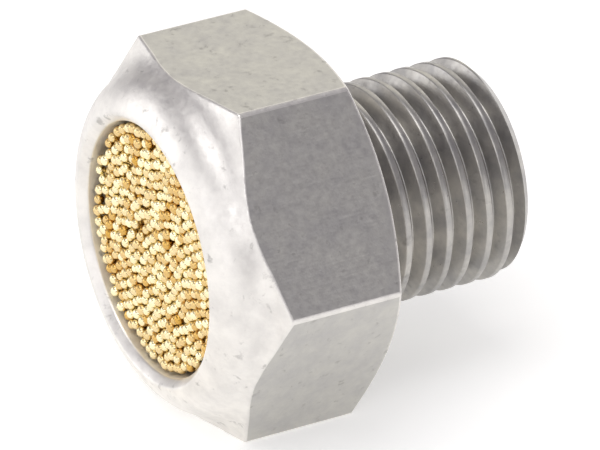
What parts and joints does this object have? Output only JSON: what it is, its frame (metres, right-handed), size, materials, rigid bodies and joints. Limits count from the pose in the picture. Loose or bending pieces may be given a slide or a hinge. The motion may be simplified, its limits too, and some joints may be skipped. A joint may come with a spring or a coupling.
{
  "type": "pneumatic muffler",
  "caption": "Exhaust muffler: a hexagon-headed aluminium body with a male pipe thread and a recessed disc of sintered bronze that lets compressed air out quietly.",
  "frame": {"origin": "on the thread's axis, in the plane of the seat under the hexagon head", "axes": "+Y along the thread from the seat to its tip, the sintered disc faces -Y, and +Z is square to one flat of the hexagon"},
  "size_m": [0.0242, 0.0221, 0.021],
  "materials": {
    "body_aluminium": "turned from drawn hexagon bar, then tumbled to a soft satin",
    "sintered_bronze": "coarse sintered bronze beads"
  },
  "bodies": {
    "root": {"body": "body_aluminium", "sintered_disc": "sintered_bronze"}
  },
  "joints": []
}
